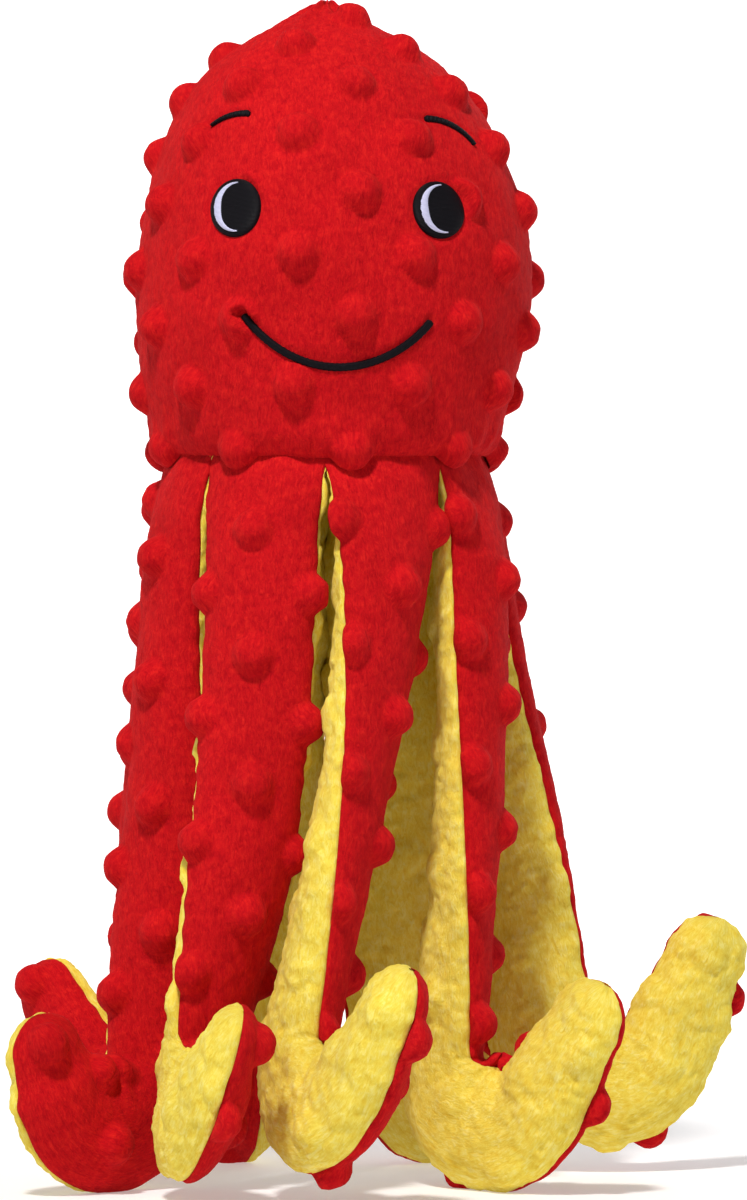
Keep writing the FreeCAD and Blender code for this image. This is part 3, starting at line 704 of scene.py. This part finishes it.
class Tentacle:
    """One tentacle's form. A place on it is its distance below the hinge, along the tube's middle."""

    def __init__(self, number):
        self.number = number
        self.hang = HANG[number - 1]
        self.bearing = math.radians(FIRST_BEARING + TENTACLE_STEP * (number - 1))
        self.turned = math.radians(self.hang.turned)
        self.down = unit(np.array([self.hang.sideways_slope, -self.hang.outward_slope, -1.0]))
        level = heading(self.turned)
        self.ahead = unit(level - level.dot(self.down) * self.down)
        self.normal = np.cross(self.ahead, self.down)
        reach = (HOOK_RADIUS + HOOK_WIDTH / 2) * math.hypot(*self.normal[:2])
        foot_height = self.hang.lift - FOOT_FLAT
        self.stem_end = HINGE_HEIGHT - foot_height - reach + HOOK_RADIUS * self.ahead[2]
        self.hook_end = self.stem_end + HOOK_RADIUS * HOOK_TURN
        self.tip_end = self.hook_end + self.hang.rise
        self.tip_start = self.tip_end - TIP_WIDTH / 2

    def middle(self, distance):
        """The middle of the tube, with the root straight ahead of the head's axis."""
        on_stem = np.minimum(distance, self.stem_end)
        share = on_stem / self.stem_end
        moved = ease(share)
        sloping = self.stem_end * np.where(share > 0, share**3 - share**2, 0.0)
        sideways = self.hang.sideways * moved + self.hang.sideways_slope * sloping
        ahead = HINGE_RADIUS + self.hang.outward * moved + self.hang.outward_slope * sloping
        stem = np.stack([sideways, -ahead, HINGE_HEIGHT - on_stem], axis=-1)
        bend = np.clip((distance - self.stem_end) / HOOK_RADIUS, 0, HOOK_TURN)[..., None]
        hook = (self.ahead * (1 - np.cos(bend)) + self.down * np.sin(bend)) * HOOK_RADIUS
        rise = np.maximum(distance - self.hook_end, 0)[..., None]
        return stem + hook + (self.ahead * np.sin(HOOK_TURN) + self.down * np.cos(HOOK_TURN)) * rise

    def axes(self, distance):
        """The directions of the tube's width and of its outer face."""
        small = 0.01
        along = unit(self.middle(distance + small) - self.middle(distance - small))
        width = unit(np.cross(along, self.normal))
        face_out = np.cross(width, along)
        twist_end = self.stem_end + HOOK_RADIUS * TWIST_ENDS_AT
        done = np.clip(distance / twist_end, 0, 1) ** self.hang.twist_power
        left = (-(math.pi / 2 + self.turned) * (1 - done))[..., None]
        turned_width = width * np.cos(left) + face_out * np.sin(left)
        return turned_width, face_out * np.cos(left) - width * np.sin(left)

    def half_sizes(self, distance):
        """Half the tube's width and half its thickness."""
        narrowed = ease((distance + SEAM_TOP) / (SEAM_NARROWS_BY + SEAM_TOP))
        at_back = self.number in BACK_TENTACLES
        upper_width = BACK_UPPER_WIDTH if at_back else UPPER_WIDTH
        upper_end = BACK_UPPER_END if at_back else UPPER_END
        stem_width = mix(upper_width, TENTACLE_WIDTH, ease((distance - upper_end) / NARROWS_OVER))
        width = mix(SEAM_WIDTH, stem_width, narrowed) / 2
        filled = np.clip((distance + FILLS_FROM) / FILLS_OVER, 0, 1) ** FILLING_POWER
        thickness = mix(SEAM_THICKNESS, TENTACLE_THICKNESS, filled) / 2
        widening = HOOK_RADIUS * WIDENING
        after_stem = ease((distance - self.stem_end) / widening)
        widened = after_stem * ease((self.hook_end - distance) / widening)
        width = width + (HOOK_WIDTH - TENTACLE_WIDTH) / 2 * widened
        taper = ease((distance - self.hook_end) / (self.tip_start - self.hook_end))
        width = mix(width, TIP_WIDTH / 2, taper)
        thickness = mix(thickness, TIP_THICKNESS / 2, taper)
        rounding = np.clip((distance - self.tip_start) / (self.tip_end - self.tip_start), 0, 1)
        shrink = np.sqrt(1 - np.minimum(rounding, 0.9995) ** 2)
        return width * shrink, thickness * shrink

    def places(self, spacing):
        """Places along the tentacle, closer together round the tip."""
        straight = np.linspace(-SEAM_TOP, self.tip_start, int((self.tip_start + SEAM_TOP) / spacing))
        steps = int(math.pi / 2 * (self.tip_end - self.tip_start) / spacing)
        angles = np.linspace(0, math.pi / 2, steps)[1:]
        return np.concatenate([straight, mix(self.tip_start, self.tip_end, np.sin(angles))])

    def surface(self, distance, angle, inset=0.0):
        """Points of the stuffed tube and its outward directions, at angles round its section."""
        half_width, half_thickness = self.half_sizes(distance)
        width, face_out = self.axes(distance)
        middle = self.middle(distance)
        half_width = np.maximum(half_width - inset, 0.05)
        half_thickness = np.maximum(half_thickness - inset, 0.05)
        level = half_width * np.cos(angle)
        out = half_thickness * np.sign(np.sin(angle)) * np.abs(np.sin(angle)) ** 1.12
        out = out - level**2 / (2 * HINGE_RADIUS) * (1 - ease((distance + SEAM_TOP) / 24.0))
        points = middle + width * level[..., None] + face_out * out[..., None]
        outward = unit(
            width * (np.cos(angle) / half_width)[..., None]
            + face_out * (np.sin(angle) / half_thickness)[..., None]
        )
        return self.turned_round(points) + np.array([AXIS_X, AXIS_Y, 0.0]), self.turned_round(outward)

    def turned_round(self, vectors):
        """Vectors turned from straight ahead to the tentacle's own bearing."""
        cos, sin = math.cos(self.bearing), math.sin(self.bearing)
        x, y = vectors[..., 0], vectors[..., 1]
        return np.stack([x * cos - y * sin, x * sin + y * cos, vectors[..., 2]], axis=-1)


def section_angles(count, half_width, half_thickness):
    """Angles from 0 to a half turn that are evenly spaced along an oval's rim."""
    fine = np.linspace(0, math.pi, 400)
    rim = np.hypot(half_width * np.sin(fine), half_thickness * np.cos(fine))
    run = np.concatenate([[0.0], np.cumsum((rim[1:] + rim[:-1]) / 2)])
    return np.interp(np.linspace(0, run[-1], count), run, fine), run[-1] * (fine[1] - fine[0])


RIM_ANGLES, RIM_LENGTH = section_angles(42, TENTACLE_WIDTH / 2, TENTACLE_THICKNESS / 2)


def panel_dots(form, side, shift_across, shift_along):
    """The middles of the dots on one tentacle panel, on the smooth tube."""
    dots = []
    for row in range(-1, 16):
        distance = shift_along + DOT_ALONG * row
        if not 6 < distance < form.tip_end - 3:
            continue
        for column in range(-2, 4):
            run = shift_across + 2 * DOT_ACROSS * column + (DOT_ACROSS if row % 2 else 0.0)
            if DOT_TO_SEAM < run < RIM_LENGTH - DOT_TO_SEAM:
                share = run / RIM_LENGTH * (len(RIM_ANGLES) - 1)
                angle = np.interp(share, np.arange(len(RIM_ANGLES)), RIM_ANGLES) * side
                dots.append(form.surface(np.array(distance), np.array(angle))[0])
    return dots


# Where each tentacle's dots start: across and along the outer panel, then the inner one.
DOT_STARTS = (
    ((6.0, 8.0), (12.0, 20.0)),
    ((20.0, 19.0), (4.0, 10.0)),
    ((2.0, 17.0), (10.0, 2.0)),
    ((4.0, 14.0), (14.0, 9.0)),
    ((18.0, 4.0), (3.0, 14.0)),
    ((9.0, 13.0), (17.0, 6.0)),
    ((15.0, 2.0), (7.0, 11.0)),
    ((1.0, 10.0), (21.0, 15.0)),
)


def tentacle_swell(form, distance, angle, points, seed):
    """How far the stuffed tube stands off its smooth form, before its dots and pile."""
    lumps = 0.8 * noise(points, 20.0, seed) + 0.45 * noise(points, 9.0, seed + 1)
    to_seam = np.abs(np.sin(angle)) * TENTACLE_THICKNESS / 2
    seam = -0.7 * np.exp(-((to_seam / 1.2) ** 2))
    stitches = np.sin(distance / 1.7 + 2.0 * np.sin(distance / 7.0 + seed))
    pucker = 0.3 * stitches * np.exp(-((to_seam / 3.0) ** 2))
    bend = (distance - form.stem_end) / HOOK_RADIUS
    inside = np.clip(np.cos(angle), 0, 1) ** 1.5 * ease(bend / 0.5) * ease((HOOK_TURN - bend) / 0.5)
    folds = -0.9 * (0.5 + 0.5 * np.cos(bend * 7.0 + seed)) * inside
    root = np.exp(-(((distance + SEAM_TOP) / 11.0) ** 2))
    gathers = 0.8 * np.sin(5 * math.cos(seed) + np.cos(angle) * 7.0) * root * np.abs(np.sin(angle))
    return (lumps + folds + gathers) * np.abs(np.sin(angle)) ** 0.4 + seam + pucker


def tentacle_panel(form, side):
    """One cloth panel of a tentacle. side is 1 for the red outer one and -1 for the yellow inner one."""
    outer = side > 0
    number = form.number
    distance, angle = np.meshgrid(form.places(CLOTH_GRID), RIM_ANGLES * side, indexing="ij")
    smooth, outward = form.surface(distance, angle)
    base = smooth + outward * tentacle_swell(form, distance, angle, smooth, 30 + number)[..., None]
    starts = DOT_STARTS[number - 1][0 if outer else 1]
    dots = panel_dots(form, side, *starts)
    off_seam = ease(np.abs(np.sin(angle)) * TENTACLE_THICKNESS / 2 / 1.6)
    ends = ease((distance + 1) / 5.0) * ease((form.tip_end - distance) / 3.0)
    pile, tuft, dot_share = (0.16, 1.9, 1.0) if outer else (0.5, 2.3, 0.35)
    relief = dot_relief(smooth, dots) * dot_share * ends
    relief = (relief + pile_relief(smooth, pile, tuft, 50 + number)) * off_seam
    points = base + grid_normals(base, outward) * relief[..., None]
    points[0], points[-1] = base[0], base[-1]
    points[..., 2] = np.maximum(points[..., 2], 0.0)
    across = np.broadcast_to(np.linspace(0, RIM_LENGTH, len(RIM_ANGLES)), distance.shape)
    cloth = np.stack([across, distance], axis=-1)
    kind = "outer" if outer else "inner"
    material, slot = (RED, "red_minky") if outer else (YELLOW, "yellow_minky")
    piece = grid_piece(
        f"tentacle_{number}_{kind}_cloth",
        with_seam_allowance(points, outward),
        np.pad(outward, ((0, 0), (1, 1), (0, 0)), mode="edge"),
        material,
        np.pad(cloth, ((0, 0), (1, 1), (0, 0)), mode="edge"),
    )
    finish_tentacle_piece(piece, f"tentacle_{number}_{kind}_panel")


def with_seam_allowance(points, outward):
    """The grid with one more column at each long edge, turned into the tube."""
    tucked = points - SEAM_ALLOWANCE * outward
    return np.concatenate([tucked[:, :1], points, tucked[:, -1:]], axis=1)


def tentacle_fill(form):
    """The fibre fill inside a tentacle."""
    in_tip = form.tip_start + np.array([3.0, 6.0, 8.0])
    places = np.concatenate([np.linspace(TENTACLE_FILL_START, form.tip_start, 70), in_tip])
    distance, angle = np.meshgrid(places, np.linspace(0, 2 * math.pi, 33)[:-1], indexing="ij")
    points, outward = form.surface(distance, angle, inset=TENTACLE_FILL_INSET)
    piece = grid_piece(f"tentacle_{form.number}_fill", points, outward, FIBRE, closed=True)
    finish_tentacle_piece(piece, f"tentacle_{form.number}_stuffing")


def finish_tentacle_piece(piece, replaced):
    """Bakes a piece's placement into its mesh and hides the CAD part it replaces."""
    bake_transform(piece)
    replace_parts(piece, replaced)


# ---------------------------------------------------------------- the studio


def look_from(thing, place, target):
    """Puts a thing at a place and turns it to face a target."""
    thing.location = place
    thing.rotation_euler = (Vector(target) - Vector(place)).to_track_quat("-Z", "Y").to_euler()


def add_camera():
    """A camera in front of the toy, below its middle and 13.3 mm to the right of the head's axis."""
    camera = bpy.data.objects.new("camera", bpy.data.cameras.new("camera"))
    bpy.context.scene.collection.objects.link(camera)
    bpy.context.scene.camera = camera
    distance, height, target_height = 1.25, 0.115, 0.1638
    camera.data.sensor_width = 36.0
    view_height = 0.3395
    camera.data.lens = camera.data.sensor_width * distance / view_height
    right_of_axis = 0.0133
    across = AXIS_X * MM + right_of_axis
    look_from(camera, (across, -distance, height), (across, 0.0, target_height))


def add_area_light(name, place, target, size, power, colour):
    light = bpy.data.lights.new(name, "AREA")
    light.shape = "DISK"
    light.size = size
    light.energy = power
    light.color = colour
    lamp = bpy.data.objects.new(name, light)
    bpy.context.scene.collection.objects.link(lamp)
    look_from(lamp, place, target)


def studio_material():
    """A pale floor that glows behind the toy and not in front of it, to keep the light directional."""
    material, tree, shader = new_material("studio floor")
    geometry = node(tree, "ShaderNodeNewGeometry")
    depth = node(tree, "ShaderNodeSeparateXYZ", Vector=geometry.outputs["Position"])
    behind = node(tree, "ShaderNodeMapRange")
    tree.links.new(depth.outputs["Y"], behind.inputs["Value"])
    behind.inputs["From Min"].default_value = -1.0
    behind.inputs["From Max"].default_value = 2.0
    stops = ((0.2, 0.2), (0.33, 0.3), (0.45, 0.58), (1.0, 0.95))
    glow = ramp(tree, behind.outputs["Result"], *((place, (level,) * 3) for place, level in stops))
    tree.links.new(glow, shader.inputs["Emission Color"])
    shader.inputs["Emission Strength"].default_value = 1.0
    shader.inputs["Base Color"].default_value = (0.7, 0.7, 0.7, 1.0)
    shader.inputs["Roughness"].default_value = 0.8
    return material


def add_studio():
    """A round pale floor whose rim curves up, and soft light from the upper left."""
    flat, bend, top = 6.5, 1.5, 4.2
    outline = [(0.0001, 0.0), (0.5, 0.0), (flat, 0.0)]
    outline += [
        (flat + bend * math.sin(angle), bend * (1 - math.cos(angle)))
        for angle in np.linspace(0.1, math.pi / 2, 12)
    ]
    outline.append((flat + bend, top))
    turns = np.linspace(0, 2 * math.pi, 97)[:-1]
    rows = np.array(
        [[(r * math.cos(turn), r * math.sin(turn), z) for turn in turns] for r, z in outline]
    )
    faces = grid_faces(*rows.shape[:2], closed=True)
    make_piece("studio_floor", rows / MM, faces, studio_material())
    world = bpy.data.worlds.new("studio")
    bpy.context.scene.world = world
    world.use_nodes = True
    background = world.node_tree.nodes["Background"]
    background.inputs["Color"].default_value = (1.0, 1.0, 1.0, 1.0)
    background.inputs["Strength"].default_value = 0.08
    centre = (0.0, 0.0, 0.2)
    add_area_light("key", (-0.34, -1.1, 1.85), centre, 0.25, 45.0, (1.0, 0.97, 0.94))
    add_area_light("back light", (0.9, 1.3, 1.0), centre, 0.8, 5.0, (0.96, 0.98, 1.0))
    bpy.context.scene.view_settings.view_transform = "Standard"


# ---------------------------------------------------------------- putting it together


def dress_hidden_nodes():
    """Materials for the CAD nodes that stay, all inside the head."""
    for name in ("squeaker_body", "squeaker_reed"):
        mesh = frame["nodes"][name].data
        mesh.materials.clear()
        mesh.materials.append(PLASTIC)


def main():
    add_camera()
    add_studio()
    dress_hidden_nodes()
    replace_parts(head_panel("head_front_cloth", 0.0, 7.3), "head_front_panel")
    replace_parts(head_panel("head_back_cloth", math.pi, 3.0), "head_back_panel")
    head_fill()
    base_disc()
    stitched_line("smile_stitches", smile_line, (SMILE_WIDTH, SMILE_WIDTH), "smile", 0.6)
    for name, eyebrow in EYEBROWS.items():
        eye(f"eye_{name}", eyebrow.side)
        line = partial(eyebrow_line, eyebrow)
        widths = (EYEBROW_WIDTH * 1.2, EYEBROW_WIDTH * 0.4)
        stitched_line(f"eyebrow_{name}_stitches", line, widths, f"eyebrow_{name}", 0.45)
    for number in range(1, len(HANG) + 1):
        form = Tentacle(number)
        tentacle_panel(form, 1)
        tentacle_panel(form, -1)
        tentacle_fill(form)


main()
